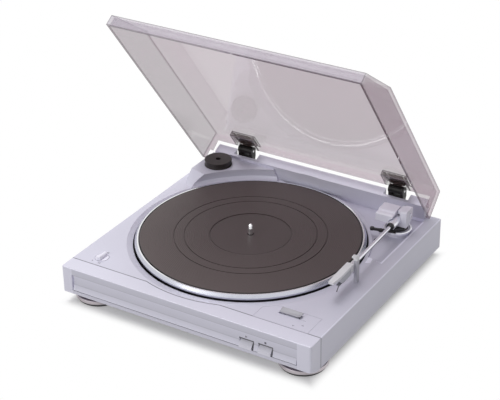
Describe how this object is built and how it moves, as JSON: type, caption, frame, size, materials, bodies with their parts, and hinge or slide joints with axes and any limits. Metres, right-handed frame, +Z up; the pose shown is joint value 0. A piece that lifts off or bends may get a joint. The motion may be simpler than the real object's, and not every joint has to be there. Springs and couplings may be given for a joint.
{
  "type": "turntable",
  "caption": "Silver record player with a rubber-matted platter, a straight tonearm on its rest, keys in the fascia and a hinged clear dust cover.",
  "frame": {"origin": "on the standing surface, straight below the spindle", "axes": "+X to the right seen from the front, +Y to the rear, +Z up along the spindle"},
  "size_m": [0.361, 0.3536, 0.3448],
  "materials": {
    "silver_paint": "silver lacquer, satin",
    "silver_fascia": "satin",
    "inset_plate": "satin",
    "smoked_clear": "gloss, clear with a faint smoke tint",
    "black_plastic": "matte",
    "silver_plastic": "satin",
    "pale_plastic": "matte",
    "bright_ring": "metallised gloss",
    "sole_rubber": "matte",
    "platter_metal": "polished rim",
    "mat_rubber": "matte",
    "belt_rubber": "matte",
    "steel": "brushed",
    "chrome": "polished",
    "brass": "turned",
    "adapter_black": "satin",
    "board_green": "matte"
  },
  "bodies": {
    "plinth": {"top_case": "silver_paint", "fascia": "silver_fascia", "cue_panel": "inset_plate", "cue_bracket": "steel", "speed_switch": "black_plastic", "key_switches": "black_plastic", "circuit_board": "board_green", "bottom_cover": "black_plastic", "bottom_screws": "steel", "foot_front_left": "bright_ring", "foot_front_right": "bright_ring", "foot_rear_left": "bright_ring", "foot_rear_right": "bright_ring", "foot_sole_front_left": "sole_rubber", "foot_sole_front_right": "sole_rubber", "foot_sole_rear_left": "sole_rubber", "foot_sole_rear_right": "sole_rubber", "foot_screws": "steel", "main_bearing": "brass", "drive_belt": "belt_rubber", "motor": "steel", "motor_bracket": "steel", "motor_screws": "steel", "cam_post": "steel", "transformer": "steel", "signal_gland": "sole_rubber", "mains_gland": "sole_rubber", "arm_base": "black_plastic", "base_ring": "silver_plastic", "recess_caps": "black_plastic", "arm_rest": "silver_plastic", "arm_rest_pad": "black_plastic", "hinge_base_left": "black_plastic", "hinge_base_right": "black_plastic"},
    "platter": {"platter": "platter_metal", "platter_mat": "mat_rubber", "spindle": "chrome"},
    "pulley": {"motor_pulley": "brass"},
    "cam": {"cam_gear": "pale_plastic"},
    "speed_knob": {"speed_knob": "silver_plastic"},
    "start_key": {"start_key": "silver_plastic"},
    "stop_key": {"stop_key": "silver_plastic"},
    "cue_lever": {"cue_lever": "silver_plastic"},
    "lift": {"lift_bar": "black_plastic"},
    "yoke": {"arm_yoke": "silver_plastic", "pivot_pin": "steel"},
    "arm": {"arm_housing": "silver_plastic", "arm_sleeve": "silver_plastic", "arm_collar": "black_plastic", "arm_tube": "chrome", "counterweight": "steel", "headshell": "silver_plastic", "cartridge": "silver_plastic", "stylus": "silver_plastic"},
    "adapter": {"adapter_45": "adapter_black"},
    "cover": {"dust_cover": "smoked_clear", "hinge_leaf_left": "black_plastic", "hinge_leaf_right": "black_plastic", "hinge_pin_left": "steel", "hinge_pin_right": "steel"}
  },
  "joints": [
    {"name": "platter_spin", "type": "hinge", "parent": "plinth", "child": "platter", "pos_m": [0, 0, 0.05], "axis": [0, 0, -1], "continuous": true},
    {"name": "pulley_spin", "type": "hinge", "parent": "plinth", "child": "pulley", "pos_m": [-0.08485, 0.08485, 0.044], "axis": [0, 0, -1], "continuous": true},
    {"name": "cam_spin", "type": "hinge", "parent": "plinth", "child": "cam", "pos_m": [0.04045, 0.02939, 0.037], "axis": [0, 0, 1], "continuous": true},
    {"name": "speed_turn", "type": "hinge", "parent": "plinth", "child": "speed_knob", "pos_m": [-0.1345, -0.1402, 0.051], "axis": [0, 0, -1], "range_deg": [0, 60]},
    {"name": "start_press", "type": "slide", "parent": "plinth", "child": "start_key", "axis": [0, 1, 0], "range_m": [0, 0.002], "stiffness_N_per_m": 300},
    {"name": "stop_press", "type": "slide", "parent": "plinth", "child": "stop_key", "axis": [0, 1, 0], "range_m": [0, 0.002], "stiffness_N_per_m": 300},
    {"name": "cue_turn", "type": "hinge", "parent": "plinth", "child": "cue_lever", "pos_m": [0.1458, -0.133, 0.0435], "axis": [0, 1, 0], "range_deg": [0, 14]},
    {"name": "lift_rise", "type": "slide", "parent": "plinth", "child": "lift", "axis": [0, 0, 1], "range_m": [0, 0.0005]},
    {"name": "arm_swing", "type": "hinge", "parent": "plinth", "child": "yoke", "pos_m": [0.1555, 0.112, 0.065], "axis": [0, 0, -1], "range_deg": [0, 38]},
    {"name": "arm_tilt", "type": "hinge", "parent": "yoke", "child": "arm", "pos_m": [0.1555, 0.112, 0.0778], "axis": [-0.9996, -0.0288, 0], "range_deg": [0, 2.4]},
    {"name": "adapter_lift", "type": "slide", "parent": "plinth", "child": "adapter", "axis": [0, 0, 1], "range_m": [0, 0.01]},
    {"name": "cover_hinge", "type": "hinge", "parent": "plinth", "child": "cover", "pos_m": [0.013, 0.1593, 0.082], "axis": [-1, 0, 0], "range_deg": [-53.5, 0]}
  ],
  "couplings": [
    {"joint": "pulley_spin", "follows": "platter_spin", "ratio": 16.129},
    {"joint": "cue_turn", "follows": "arm_tilt", "ratio": 5.8333},
    {"joint": "lift_rise", "follows": "arm_tilt", "m_per_rad": 0.01192}
  ]
}
